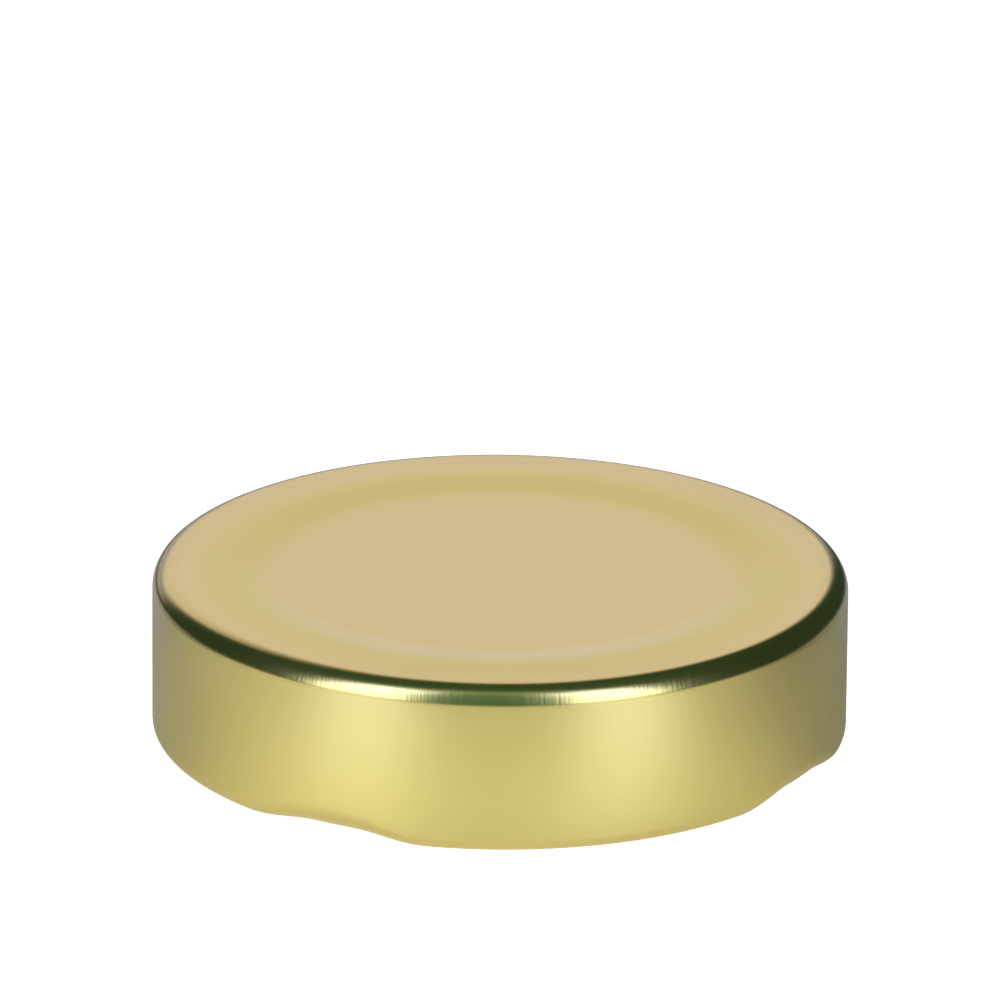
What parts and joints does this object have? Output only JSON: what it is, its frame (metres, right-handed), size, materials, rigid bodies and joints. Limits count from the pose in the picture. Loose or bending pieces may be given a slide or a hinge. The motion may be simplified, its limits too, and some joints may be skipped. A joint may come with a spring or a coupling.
{
  "type": "twist off jar lid",
  "caption": "Round pressed metal jar lid with a recessed centre, smooth tall skirt, rolled edge, inward lugs and a sealing ring under its top.",
  "frame": {"origin": "centre of the circle on which the rolled edge stands, at its lowest level", "axes": "+Z along the lid's axis, from the open side to the closed top; -Y towards the picture's camera"},
  "size_m": [0.0688, 0.0688, 0.017],
  "materials": {
    "gold_lacquered_tinplate": "satin gold lacquer",
    "seal_compound": "matt"
  },
  "bodies": {
    "root": {"lid_shell": "gold_lacquered_tinplate", "sealing_ring": "seal_compound"}
  },
  "joints": []
}
